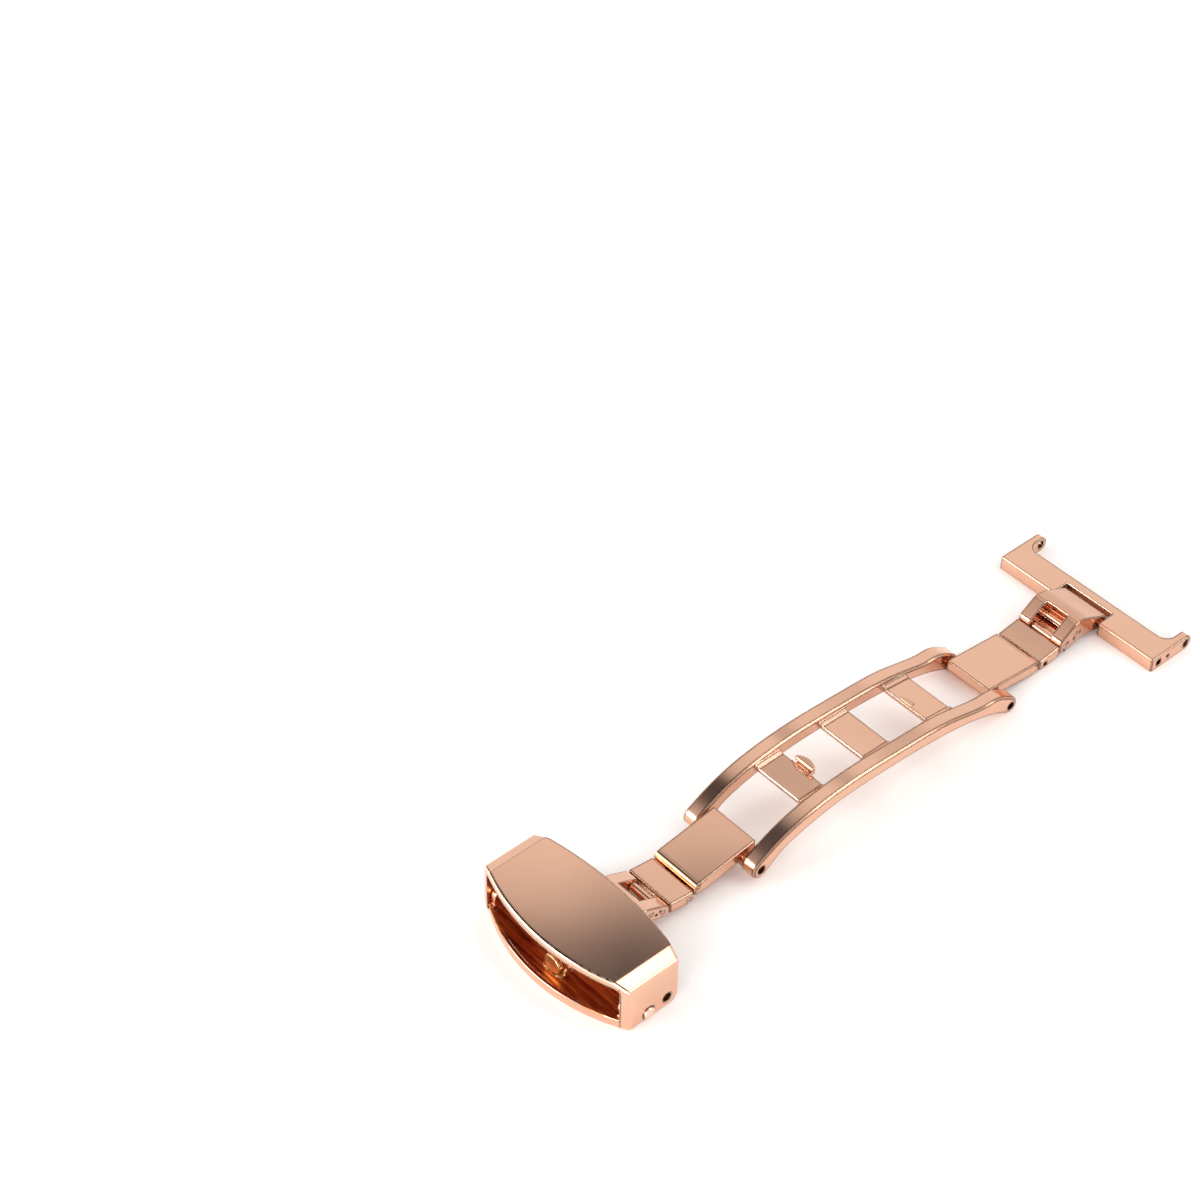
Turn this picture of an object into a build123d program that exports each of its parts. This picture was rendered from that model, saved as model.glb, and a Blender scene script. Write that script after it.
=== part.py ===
from build123d import *
import math
import os

os.makedirs("parts", exist_ok=True)

# Frame: X runs from the sleeve to the T-bar, Y across, Z up, all at rest on a table.

# Distances along the chain from hinge to hinge
left_blade_length = 7.85
left_link_length = 3.40
left_catch_length = 6.35
right_blade_length = 7.89
right_link_length = 3.00
right_catch_length = 6.25

# Hinge axes in the side view, as (x, z)
left_frame_axis = (-16.75, 1.85)
left_link_axis = (left_frame_axis[0] - left_blade_length, 1.32)
left_catch_axis = (left_link_axis[0] - left_link_length, 2.10)
tray_axis = (left_catch_axis[0] - left_catch_length, 1.37)
right_frame_axis = (19.86, 1.00)
right_link_axis = (right_frame_axis[0] + right_blade_length, 0.62)
right_catch_axis = (right_link_axis[0] + right_link_length, 1.25)
bar_axis = (right_catch_axis[0] + right_catch_length, 0.87)

# Pins and fits
frame_pin_radius = 0.50
link_pin_radius = 0.30
catch_pin_radius = 0.32
tray_pin_radius = 0.45
cover_pin_radius = 0.50
running_gap = 0.04
side_gap = 0.06
blade_gap = 0.15
pin_recess = 0.50
link_pin_recess = 0.22

# Frame rails and crossbars
rail_inner = 3.37
rail_outer = 5.20
left_knuckle_radius = 1.10
right_knuckle_radius = 1.00
rail_bevel = 0.20
rail_top = [(-13.5, 4.70), (-8.5, 5.78), (-3.0, 6.05), (4.0, 5.65), (10.5, 4.92), (16.0, 3.60)]
rail_bottom = [(16.0, 1.80), (10.5, 3.20), (4.0, 3.95), (-2.5, 4.28), (-8.3, 3.98), (-13.1, 2.90)]
crossbar_tops = [
    [(-9.60, 5.08), (-6.20, 5.08)],
    [(-0.50, 5.14), (3.20, 5.02)],
    [(8.85, 4.47), (12.35, 4.02)],
]
crossbar_thickness = 0.44
crossbar_fillet_width = 0.55
crossbar_fillet_height = 0.24
crossbar_bite = 0.25

# Half-moon catches on the left and right crossbars, their flat sides towards the sleeve
post_head_radius = 1.86
post_head_half_width = 1.62
post_head_thickness = 0.60
post_head_round = 0.27
post_neck_height = 0.17
post_neck_half_width = 0.80
post_flat_inset = 0.05
post_neck_length = 0.55
foot_arc_depth = 0.40
foot_half_width = 1.60
foot_thickness = 0.10
foot_drop = 0.40
foot_length = 0.75
foot_block_half_width = 1.00
hook_overhang = 0.15
hook_head_radius = 0.95
hook_half_width = 0.90
hook_head_thickness = 0.36
hook_head_round = 0.12
hook_neck_height = 0.12
hook_neck_half_width = 0.50
hook_neck_length = 0.32
hook_rivet_offset = 0.50
hook_rivet_radius = 0.28
hook_foot_length = 0.85

# Links
link_half_width = 3.04
sunk_pin_half_length = link_half_width - link_pin_recess
tongue_half_width = 1.50
knuckle_radius = 0.50
tongue_drop = 0.30
root_drop = 0.10
frame_barrel_radius = 0.95
fork_inner = 1.54
knuckle_half_width = fork_inner - side_gap
link_edge_round = 0.12
side_bevel = 0.09
left_ridge_radius = 0.60
right_ridge_radius = 0.40
left_blade_setback = 0.83
right_blade_setback = 1.07
left_blade_end = left_blade_length - left_blade_setback
right_blade_end = right_blade_length - right_blade_setback
left_ridge = (left_blade_end - left_ridge_radius, 0.26)
right_ridge = (right_blade_end - right_ridge_radius, 0.22)
blade_toe_length = 1.42
left_link_start = blade_gap - left_blade_setback
right_link_start = blade_gap - right_blade_setback
left_link_end = 2.49
right_link_end = 2.12

# Outlines from each link's own axis, as (outwards, up)
left_blade_outline = [
    (-1.18, 1.81),
    (left_ridge[0], left_ridge[1] + left_ridge_radius),
    left_ridge,
    (left_blade_end, left_ridge[1]),
    (left_blade_end, -0.45),
    (left_blade_end - blade_toe_length, -0.62),
    (-1.18, 0.45),
]
right_blade_outline = [
    (-1.24, 1.48),
    (right_ridge[0], right_ridge[1] + right_ridge_radius),
    right_ridge,
    (right_blade_end, right_ridge[1]),
    (right_blade_end, -0.66),
    (right_blade_end - blade_toe_length, -0.72),
    (-1.24, 0.20),
]
left_link_outline = [
    (left_link_start, 0.76),
    (left_link_end, 1.22),
    (left_link_end, -0.05),
    (0.30, -0.52),
    (left_link_start, -0.40),
]
right_link_outline = [
    (right_link_start, 0.76),
    (right_link_end, 1.14),
    (right_link_end, -0.15),
    (0.30, -0.50),
    (right_link_start, -0.40),
]

# Arched catch links: top, underside and outer end, each from the outer hinge axis
left_catch_top = [
    (0.35, 0.95),
    (1.60, 1.86),
    (2.80, 2.46),
    (3.55, 2.66),
    (4.45, 2.52),
    (5.40, 2.08),
    (6.60, 1.50),
    (7.02, 1.22),
    (7.20, 0.85),
]
left_catch_under = [
    (7.10, -0.06),
    (5.90, 0.16),
    (4.40, 0.70),
    (3.00, 0.92),
    (1.60, 0.80),
    (0.70, 0.10),
]
left_catch_heel = [(0, 0)]
right_catch_top = [
    (-0.42, 0.95),
    (0.96, 1.58),
    (2.26, 2.22),
    (3.45, 2.72),
    (4.55, 2.78),
    (5.45, 2.35),
    (6.45, 1.68),
    (6.88, 1.36),
    (7.05, 0.96),
]
right_catch_under = [
    (7.02, -0.10),
    (6.50, -0.34),
    (5.60, -0.30),
    (4.74, 0.02),
    (3.62, 0.24),
    (2.42, 0.12),
    (0.80, -0.32),
]
right_catch_heel = [(0, 0), (-0.58, 0.36)]
left_catch_knuckle_radius = 0.85
right_catch_knuckle_radius = 0.70
left_window_end = 4.45
right_window_end = 4.36
left_well_floor = (1.00, 0.56)
right_well_floor = (0.45, 0.02)
left_latch_bar_offset = (4.75, 1.55)
right_latch_bar_offset = (4.66, 1.32)
latch_bar_radius = 0.30
dimple_radius = 0.15
dimple_depth = 0.25
right_dimples = [(1.51, 0.59), (3.96, 1.27), (4.82, 0.78), (5.86, 0.78), (6.23, -0.08)]
left_dimples = [(5.41, 1.01), (5.94, 1.17)]

# Sleeve tray
floor_thickness = 1.12
sleeve_width = 18.00
tray_wall_thickness = 0.68
tray_wall_inner = sleeve_width / 2
tray_half_width = tray_wall_inner + tray_wall_thickness
tray_axis_to_front = 5.00
tray_axis_to_back = 1.20
tray_front = tray_axis[0] - tray_axis_to_front
tray_back = tray_axis[0] + tray_axis_to_back
lip_neck_length = 0.30
lip_bow_length = 2.45
lip_back = tray_front - lip_neck_length
lip_front = lip_back - lip_bow_length
lip_round = 0.14
lip_rim_width = 0.45
pan_depth = 0.72
pan_rib = 0.45
tray_wall_top = 2.70
tray_wall_corner = 0.60
tray_slot_half_width = 3.32
tray_slot_depth = 1.85
tray_slot_front = tray_axis[0] - tray_slot_depth
pan_floor = floor_thickness - pan_depth
pan_back = tray_slot_front - pan_rib
boss_half_width = 4.55
boss_radius = 0.92

# Strap stud and its bracket
stud_inset = 0.05
stud_x = tray_front + stud_inset
stud_y = -0.50
stud_button_radius = 1.10
stud_button_thickness = 0.24
stud_button_round = 0.10
stud_collar_radius = 1.00
stud_collar_thickness = 0.34
stud_button_height = 1.12
stud_post_length = 0.70
stud_post_half_width = 0.62
stud_post_height = 2.25
stud_post_round = 0.30
stud_shank_radius = 0.30
bracket_thickness = 0.30
bracket_front_length = 1.10
bracket_back_length = 0.85
bracket_half_width = 1.42
bracket_corner = 0.60
bracket_ear_height = 1.05
bracket_ear_length = 0.85
bracket_ear_round = 0.40

# Cover
cover_wall_thickness = 0.90
cover_wall_inner = tray_half_width + side_gap
cover_half_width = cover_wall_inner + cover_wall_thickness
cover_top = 6.38
cover_under = 5.58
cover_wall_bottom = 0.05
cover_bevel_across = 1.55
cover_bevel_down = 0.66
cover_bevel_round = 0.50
cover_inner_corner = 0.60
cover_axis = (tray_axis[0] - 0.08, tray_axis[1] - 0.04)
snap_axis = (tray_axis[0] - 2.42, tray_axis[1] - 0.42)
cover_axis_to_front = 4.94
cover_axis_to_back = 1.43
cover_front_bow = 2.33
cover_back_bow = 1.30
cover_front_side = cover_axis[0] - cover_axis_to_front
cover_front_middle = cover_front_side - cover_front_bow
cover_back_side = cover_axis[0] + cover_axis_to_back
cover_back_middle = cover_back_side + cover_back_bow
cover_heel_round = 1.10
cover_toe_round = 0.50
cover_edge_round = 0.28
snap_pin_radius = 0.66
snap_rim_gap = 0.07
snap_rim_depth = 0.30
snap_pin_reach = 0.26
hinge_pin_recess = 0.50
pin_dome = 0.18

# T-bar
bar_height = 1.80
bar_axis_to_edge = 1.13
bar_depth = 3.43
bar_left = bar_axis[0] - bar_axis_to_edge
bar_right = bar_left + bar_depth
lug_gap_width = 20.12
lug_thickness = 0.94
lug_inner = lug_gap_width / 2
bar_half_width = lug_inner + lug_thickness
lug_reach = 2.20
lug_axis = (bar_right + lug_reach, bar_height / 2)
lug_hole_radius = 0.50
lug_corner = 1.30
bar_notch_half_width = 3.30
bar_web_thickness = 1.10
bar_notch_end = bar_right - bar_web_thickness
bar_pocket_height = 0.80
bar_pin_radius = 0.42
bar_edge_round = 0.20
bar_dot_axis = (bar_axis[0] + 1.51, 0.88)
bar_dot_radius = 0.22


def side_plane(y):
    """Side-view plane at a distance across, its normal towards the viewer."""
    return Plane(origin=(0, y, 0), x_dir=(1, 0, 0), z_dir=(0, -1, 0))


def slab(points, y_low, y_high, corner=0, bevel=0):
    """A plate cut to a side-view outline, its corners rounded and its side edges bevelled."""
    with BuildPart() as piece:
        with BuildSketch(side_plane(y_high)) as outline:
            with BuildLine():
                Polyline(*points, close=True)
            make_face()
            if corner:
                fillet(outline.vertices(), corner)
        extrude(amount=y_high - y_low)
        if bevel:
            chamfer(piece.faces().filter_by(Axis.Y).edges(), bevel)
    return piece.part


def rod(axis, radius, y_low, y_high):
    """A round bar across the clasp."""
    with BuildPart() as piece:
        with BuildSketch(side_plane(y_high)):
            with Locations(axis):
                Circle(radius)
        extrude(amount=y_high - y_low)
    return piece.part


def around(axis, side, offsets):
    """Outline points from a hinge axis, each given as (outwards, up)."""
    return [(axis[0] + side * out, axis[1] + up) for out, up in offsets]


def on_circle(axis, radius, degrees):
    """A point of a circle in the side view."""
    turn = math.radians(degrees)
    return (axis[0] + radius * math.cos(turn), axis[1] + radius * math.sin(turn))


def clockwise(degrees):
    """The clockwise direction along a circle at an angle."""
    turn = math.radians(degrees)
    return (math.sin(turn), -math.cos(turn))


def crossbar(left_end, right_end):
    """A crossbar under a top line, sweeping up into the rails at both ends."""
    middle = ((left_end[0] + right_end[0]) / 2, 0, (left_end[1] + right_end[1]) / 2)
    along = Vector(right_end[0] - left_end[0], 0, right_end[1] - left_end[1])
    sweep = (crossbar_fillet_width**2 + crossbar_fillet_height**2) / (2 * crossbar_fillet_height)
    reach = rail_inner + crossbar_bite
    flat = rail_inner - crossbar_fillet_width
    with BuildPart() as piece:
        with BuildSketch(Plane(origin=middle, x_dir=(0, 1, 0), z_dir=along)):
            with BuildLine():
                Line((flat, 0), (-flat, 0))
                RadiusArc((-flat, 0), (-rail_inner, crossbar_fillet_height), -sweep)
                Polyline(
                    (-rail_inner, crossbar_fillet_height),
                    (-reach, crossbar_fillet_height),
                    (-reach, -crossbar_thickness),
                    (reach, -crossbar_thickness),
                    (reach, crossbar_fillet_height),
                    (rail_inner, crossbar_fillet_height),
                )
                RadiusArc((rail_inner, crossbar_fillet_height), (flat, 0), -sweep)
            make_face()
        extrude(amount=along.length / 2, both=True)
    return piece.part


# Base frame: rails with round ends, joined by crossbars
top_left_turn = 122
left_end_turn = 200
bottom_left_turn = -50
top_right_turn = 52
right_end_turn = -20
bottom_right_turn = -125
(hook_x, hook_z), (hook_far_x, hook_far_z) = crossbar_tops[2]
hook_plane = Plane(
    origin=(hook_x, 0, hook_z),
    x_dir=(hook_far_x - hook_x, 0, hook_far_z - hook_z),
    z_dir=(hook_z - hook_far_z, 0, hook_far_x - hook_x),
)
with BuildPart() as base_frame:
    for y_high in (rail_outer, -rail_inner):
        with BuildSketch(side_plane(y_high)):
            with BuildLine():
                Spline(
                    on_circle(left_frame_axis, left_knuckle_radius, top_left_turn),
                    *rail_top,
                    on_circle(right_frame_axis, right_knuckle_radius, top_right_turn),
                    tangents=(clockwise(top_left_turn), clockwise(top_right_turn)),
                )
                ThreePointArc(
                    on_circle(right_frame_axis, right_knuckle_radius, top_right_turn),
                    on_circle(right_frame_axis, right_knuckle_radius, right_end_turn),
                    on_circle(right_frame_axis, right_knuckle_radius, bottom_right_turn),
                )
                Spline(
                    on_circle(right_frame_axis, right_knuckle_radius, bottom_right_turn),
                    *rail_bottom,
                    on_circle(left_frame_axis, left_knuckle_radius, bottom_left_turn),
                    tangents=(clockwise(bottom_right_turn), clockwise(bottom_left_turn)),
                )
                ThreePointArc(
                    on_circle(left_frame_axis, left_knuckle_radius, bottom_left_turn),
                    on_circle(left_frame_axis, left_knuckle_radius, left_end_turn),
                    on_circle(left_frame_axis, left_knuckle_radius, top_left_turn),
                )
            make_face()
        extrude(amount=rail_outer - rail_inner)
    chamfer(base_frame.faces().filter_by(Axis.Y).edges(), rail_bevel)
    for left_end, right_end in crossbar_tops:
        add(crossbar(left_end, right_end))
    for axis in (left_frame_axis, right_frame_axis):
        add(rod(axis, frame_pin_radius, -rail_outer, rail_outer), mode=Mode.SUBTRACT)
    with BuildSketch(hook_plane):
        with Locations((hook_rivet_offset, 0)):
            Circle(hook_rivet_radius)
    extrude(amount=-crossbar_thickness, mode=Mode.SUBTRACT)


def half_moon(plane, flat, radius, half_width, thickness, edge_round):
    """A half-moon head with its flat side at a distance along the plane and soft edges."""
    middle = flat + radius - math.sqrt(radius**2 - half_width**2)
    with BuildPart() as piece:
        with BuildSketch(plane):
            with BuildLine():
                ThreePointArc((flat, -half_width), (middle, 0), (flat, half_width))
                Line((flat, half_width), (flat, -half_width))
            make_face()
        extrude(amount=thickness)
        fillet(piece.edges(), edge_round)
    return piece.part


# Catch post: foot on the crossbar's edge, neck and half-moon head
post_edge = crossbar_tops[0][1][0]
post_plane = Plane(origin=(post_edge, 0, crossbar_tops[0][1][1]))
with BuildPart() as catch_post:
    with BuildSketch(post_plane):
        with BuildLine():
            ThreePointArc((0, -foot_half_width), (-foot_arc_depth, 0), (0, foot_half_width))
            Line((0, foot_half_width), (0, -foot_half_width))
        make_face()
        with Locations((foot_length / 2, 0)):
            Rectangle(foot_length, foot_block_half_width * 2)
    extrude(amount=foot_thickness)
    with BuildSketch(post_plane):
        with Locations((foot_length / 2, 0)):
            Rectangle(foot_length, foot_block_half_width * 2)
    extrude(amount=-foot_drop)
    with BuildSketch(post_plane):
        with Locations((post_flat_inset + post_neck_length / 2, 0)):
            Rectangle(post_neck_length, post_neck_half_width * 2)
    extrude(amount=foot_thickness + post_neck_height + post_head_round)
    post_head_plane = post_plane.offset(foot_thickness + post_neck_height)
    add(
        half_moon(
            post_head_plane,
            post_flat_inset,
            post_head_radius,
            post_head_half_width,
            post_head_thickness,
            post_head_round,
        )
    )

# Catch hook: low half-moon riveted to the right crossbar's edge
with BuildPart() as catch_hook:
    with BuildSketch(hook_plane):
        with Locations((hook_foot_length / 2, 0)):
            Rectangle(hook_foot_length, hook_neck_half_width * 2)
    extrude(amount=foot_thickness)
    with BuildSketch(hook_plane):
        with Locations((hook_neck_length / 2, 0)):
            Rectangle(hook_neck_length, hook_neck_half_width * 2)
    extrude(amount=hook_neck_height + hook_head_round)
    add(
        half_moon(
            hook_plane.offset(hook_neck_height),
            -hook_overhang,
            hook_head_radius,
            hook_half_width,
            hook_head_thickness,
            hook_head_round,
        )
    )
    with BuildSketch(hook_plane):
        with Locations((hook_rivet_offset, 0)):
            Circle(hook_rivet_radius)
    extrude(amount=-crossbar_thickness)

# Pins of the frame, pressed into the rails
with BuildPart() as left_frame_pin:
    add(rod(left_frame_axis, frame_pin_radius, pin_recess - rail_outer, rail_outer - pin_recess))
with BuildPart() as right_frame_pin:
    add(rod(right_frame_axis, frame_pin_radius, pin_recess - rail_outer, rail_outer - pin_recess))


def blade(frame_axis, link_axis, side, offsets, ridge, ridge_radius):
    """A blade: plate with a round ridge, barrel round the frame pin, tongue round the link pin."""
    ridge_axis = around(frame_axis, side, [ridge])[0]
    root = frame_axis[0] + side * (offsets[4][0] - knuckle_radius)
    tongue = [
        (root, link_axis[1] + knuckle_radius - tongue_drop),
        (link_axis[0], link_axis[1] + knuckle_radius),
        (link_axis[0], link_axis[1] - knuckle_radius),
        (root, link_axis[1] - knuckle_radius),
    ]
    frame_bore = frame_pin_radius + running_gap
    link_bore = link_pin_radius + running_gap
    with BuildPart() as piece:
        plate = around(frame_axis, side, offsets)
        add(slab(plate, -link_half_width, link_half_width, link_edge_round, side_bevel))
        add(rod(ridge_axis, ridge_radius, side_bevel - link_half_width, link_half_width - side_bevel))
        add(rod(frame_axis, frame_barrel_radius, -link_half_width, link_half_width))
        add(slab(tongue, -tongue_half_width, tongue_half_width))
        add(rod(link_axis, knuckle_radius, -tongue_half_width, tongue_half_width))
        add(rod(frame_axis, frame_bore, -link_half_width, link_half_width), mode=Mode.SUBTRACT)
        add(rod(link_axis, link_bore, -tongue_half_width, tongue_half_width), mode=Mode.SUBTRACT)
    return piece.part


def link(link_axis, catch_axis, side, offsets):
    """A short link: slotted for the blade's tongue, with a knuckle at its outer end."""
    end = link_axis[0] + side * (offsets[1][0] - knuckle_radius)
    slot_radius = knuckle_radius + running_gap * 2
    slot_half_width = tongue_half_width + side_gap
    mouth = around(
        link_axis,
        side,
        [
            (0, slot_radius),
            (-knuckle_radius * 2, slot_radius),
            (-knuckle_radius * 2, -knuckle_radius * 2),
            (slot_radius, -knuckle_radius * 2),
            (slot_radius, 0),
        ],
    )
    root = [
        (end, catch_axis[1] - root_drop),
        (catch_axis[0], catch_axis[1] - root_drop),
        (catch_axis[0], catch_axis[1] - knuckle_radius),
        (end, catch_axis[1] - knuckle_radius),
    ]
    catch_bore = catch_pin_radius + running_gap
    with BuildPart() as piece:
        plate = around(link_axis, side, offsets)
        add(slab(plate, -link_half_width, link_half_width, link_edge_round, side_bevel))
        add(rod(link_axis, slot_radius, -slot_half_width, slot_half_width), mode=Mode.SUBTRACT)
        add(slab(mouth, -slot_half_width, slot_half_width), mode=Mode.SUBTRACT)
        add(slab(root, -knuckle_half_width, knuckle_half_width))
        add(rod(catch_axis, knuckle_radius, -knuckle_half_width, knuckle_half_width))
        add(rod(link_axis, link_pin_radius, -link_half_width, link_half_width), mode=Mode.SUBTRACT)
        add(rod(catch_axis, catch_bore, -knuckle_half_width, knuckle_half_width), mode=Mode.SUBTRACT)
    return piece.part


def catch_link(outer_axis, catch_axis, side, top, under, heel, window_end, well, bar_offset, dimples):
    """An arched link: fork with a floored window at the inner end, closed at the outer end."""
    bar = around(outer_axis, -side, [bar_offset])[0]
    reach = top[-1][0] * 2
    well_end = abs(catch_axis[0] - outer_axis[0]) - knuckle_radius - running_gap * 2
    window = around(
        outer_axis,
        -side,
        [
            (window_end, reach),
            (window_end, well[0]),
            (well_end, well[1]),
            (well_end, -reach),
            (reach, -reach),
            (reach, reach),
        ],
    )
    with BuildPart() as piece:
        with BuildSketch(side_plane(link_half_width)):
            with BuildLine():
                Spline(*around(outer_axis, -side, top))
                Polyline(*around(outer_axis, -side, [top[-1], under[0]]))
                Spline(*around(outer_axis, -side, under))
                Polyline(*around(outer_axis, -side, [under[-1], *heel, top[0]]))
            make_face()
        extrude(amount=link_half_width * 2)
        chamfer(piece.faces().filter_by(Axis.Y).edges(), side_bevel)
        add(slab(window, -fork_inner, fork_inner), mode=Mode.SUBTRACT)
        add(rod(catch_axis, catch_pin_radius, -link_half_width, link_half_width), mode=Mode.SUBTRACT)
        add(rod(bar, latch_bar_radius, -link_half_width, link_half_width), mode=Mode.SUBTRACT)
        dimple_floor = link_half_width - dimple_depth
        for dimple in around(outer_axis, -side, dimples):
            add(rod(dimple, dimple_radius, -link_half_width, -dimple_floor), mode=Mode.SUBTRACT)
            add(rod(dimple, dimple_radius, dimple_floor, link_half_width), mode=Mode.SUBTRACT)
    return piece.part


# Left chain: blade, short link, catch link with its bars
with BuildPart() as left_blade:
    add(
        blade(
            left_frame_axis,
            left_link_axis,
            -1,
            left_blade_outline,
            left_ridge,
            left_ridge_radius,
        )
    )
with BuildPart() as left_link:
    add(link(left_link_axis, left_catch_axis, -1, left_link_outline))
with BuildPart() as left_link_pin:
    add(rod(left_link_axis, link_pin_radius, -link_half_width, link_half_width))
with BuildPart() as left_catch_link:
    add(
        catch_link(
            tray_axis,
            left_catch_axis,
            -1,
            left_catch_top,
            left_catch_under,
            left_catch_heel,
            left_window_end,
            left_well_floor,
            left_latch_bar_offset,
            left_dimples,
        )
    )
    add(rod(tray_axis, left_catch_knuckle_radius, -link_half_width, link_half_width))
    tray_bore = tray_pin_radius + running_gap
    add(rod(tray_axis, tray_bore, -link_half_width, link_half_width), mode=Mode.SUBTRACT)
with BuildPart() as left_catch_pin:
    add(rod(left_catch_axis, catch_pin_radius, -link_half_width, link_half_width))
left_bar_axis = around(tray_axis, 1, [left_latch_bar_offset])[0]
with BuildPart() as left_latch_bar:
    add(rod(left_bar_axis, latch_bar_radius, -link_half_width, link_half_width))

# Right chain
with BuildPart() as right_blade:
    add(
        blade(
            right_frame_axis,
            right_link_axis,
            1,
            right_blade_outline,
            right_ridge,
            right_ridge_radius,
        )
    )
with BuildPart() as right_link:
    add(link(right_link_axis, right_catch_axis, 1, right_link_outline))
with BuildPart() as right_link_pin:
    add(rod(right_link_axis, link_pin_radius, -sunk_pin_half_length, sunk_pin_half_length))
with BuildPart() as right_catch_link:
    add(
        catch_link(
            bar_axis,
            right_catch_axis,
            1,
            right_catch_top,
            right_catch_under,
            right_catch_heel,
            right_window_end,
            right_well_floor,
            right_latch_bar_offset,
            right_dimples,
        )
    )
    add(rod(bar_axis, right_catch_knuckle_radius, -link_half_width, link_half_width))
    bar_bore = bar_pin_radius + running_gap
    add(rod(bar_axis, bar_bore, -link_half_width, link_half_width), mode=Mode.SUBTRACT)
with BuildPart() as right_catch_pin:
    add(rod(right_catch_axis, catch_pin_radius, -link_half_width, link_half_width))
right_bar_axis = around(bar_axis, -1, [right_latch_bar_offset])[0]
with BuildPart() as right_latch_bar:
    add(rod(right_bar_axis, latch_bar_radius, -link_half_width, link_half_width))

# Sleeve tray: floor with a bowed lip, side walls, slot and bosses for the hinge pin
with BuildPart() as sleeve_tray:
    with BuildSketch():
        with BuildLine():
            ThreePointArc((lip_back, -tray_half_width), (lip_front, 0), (lip_back, tray_half_width))
            Line((lip_back, tray_half_width), (lip_back, -tray_half_width))
        make_face()
    extrude(amount=floor_thickness)
    lip_edges = sleeve_tray.edges().filter_by(GeomType.CIRCLE)
    fillet(lip_edges, lip_round)
    with BuildSketch():
        with Locations(((lip_back + tray_back) / 2, 0)):
            Rectangle(tray_back - lip_back, tray_half_width * 2)
    extrude(amount=floor_thickness)
    wall = [
        (tray_front, 0),
        (tray_front, tray_wall_top),
        (tray_back, tray_wall_top),
        (tray_back, 0),
    ]
    add(slab(wall, tray_wall_inner, tray_half_width))
    add(slab(wall, -tray_half_width, -tray_wall_inner))
    wall_corners = sleeve_tray.edges().filter_by(Axis.Y).group_by(Axis.Z)[-1]
    fillet(wall_corners, tray_wall_corner)
    add(rod(tray_axis, boss_radius, -boss_half_width, boss_half_width))
    slot = [
        (tray_slot_front, -tray_wall_top),
        (tray_slot_front, tray_wall_top),
        (cover_back_middle, tray_wall_top),
        (cover_back_middle, -tray_wall_top),
    ]
    add(slab(slot, -tray_slot_half_width, tray_slot_half_width), mode=Mode.SUBTRACT)
    add(rod(tray_axis, tray_pin_radius, -boss_half_width, boss_half_width), mode=Mode.SUBTRACT)
    for low, high in ((-tray_half_width, -tray_wall_inner), (tray_wall_inner, tray_half_width)):
        add(rod(cover_axis, cover_pin_radius, low, high), mode=Mode.SUBTRACT)
    with BuildSketch(Plane.XY.offset(pan_floor)):
        with BuildLine():
            ThreePointArc(
                (lip_back, -tray_wall_inner),
                (lip_front + lip_rim_width, 0),
                (lip_back, tray_wall_inner),
            )
            Polyline(
                (lip_back, tray_wall_inner),
                (pan_back, tray_wall_inner),
                (pan_back, -tray_wall_inner),
                (lip_back, -tray_wall_inner),
            )
        make_face()
    extrude(amount=floor_thickness, mode=Mode.SUBTRACT)
    with BuildSketch():
        with Locations((stud_x, stud_y)):
            Circle(stud_shank_radius)
    extrude(amount=floor_thickness, mode=Mode.SUBTRACT)
with BuildPart() as tray_hinge_pin:
    add(rod(tray_axis, tray_pin_radius, -boss_half_width, boss_half_width))

# Strap stud: a post riveted through bracket and floor, its round button facing out
stud_front = stud_x - stud_post_length / 2
button_plane = Plane(
    origin=(stud_front, stud_y, pan_floor + stud_button_height),
    x_dir=(0, 1, 0),
    z_dir=(-1, 0, 0),
)
with BuildPart() as strap_stud:
    with BuildSketch(button_plane.offset(stud_collar_thickness)):
        Circle(stud_button_radius)
    extrude(amount=stud_button_thickness)
    fillet(strap_stud.edges(), stud_button_round)
    with BuildSketch(button_plane):
        Circle(stud_collar_radius)
    extrude(amount=stud_collar_thickness)
    with BuildSketch(Plane(origin=(stud_front, stud_y, pan_floor), x_dir=(0, 1, 0), z_dir=(1, 0, 0))):
        with Locations((0, (bracket_thickness + stud_post_height) / 2)):
            post_face = Rectangle(stud_post_half_width * 2, stud_post_height - bracket_thickness)
        fillet(post_face.vertices().group_by(Axis.Y)[-1], stud_post_round)
    extrude(amount=stud_post_length)
    with BuildSketch():
        with Locations((stud_x, stud_y)):
            Circle(stud_shank_radius)
    extrude(amount=pan_floor + bracket_thickness)
with BuildPart() as stud_bracket:
    with BuildSketch(Plane.XY.offset(pan_floor)):
        with Locations((stud_x + (bracket_back_length - bracket_front_length) / 2, stud_y)):
            plate = Rectangle(bracket_front_length + bracket_back_length, bracket_half_width * 2)
        fillet(plate.vertices(), bracket_corner)
    extrude(amount=bracket_thickness)
    ear_out = bracket_half_width - bracket_thickness
    for ear_y in (stud_y + bracket_half_width, stud_y - ear_out):
        with BuildSketch(side_plane(ear_y)):
            with Locations((stud_x, pan_floor + bracket_ear_height / 2)):
                ear = Rectangle(bracket_ear_length, bracket_ear_height)
            fillet(ear.vertices().group_by(Axis.Y)[-1], bracket_ear_round)
        extrude(amount=bracket_thickness)
    with BuildSketch(Plane.XY.offset(pan_floor)):
        with Locations((stud_x, stud_y)):
            Circle(stud_shank_radius)
    extrude(amount=bracket_thickness, mode=Mode.SUBTRACT)
    with BuildSketch(button_plane):
        Circle(stud_button_radius + running_gap)
    extrude(amount=bracket_front_length, mode=Mode.SUBTRACT)

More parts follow.
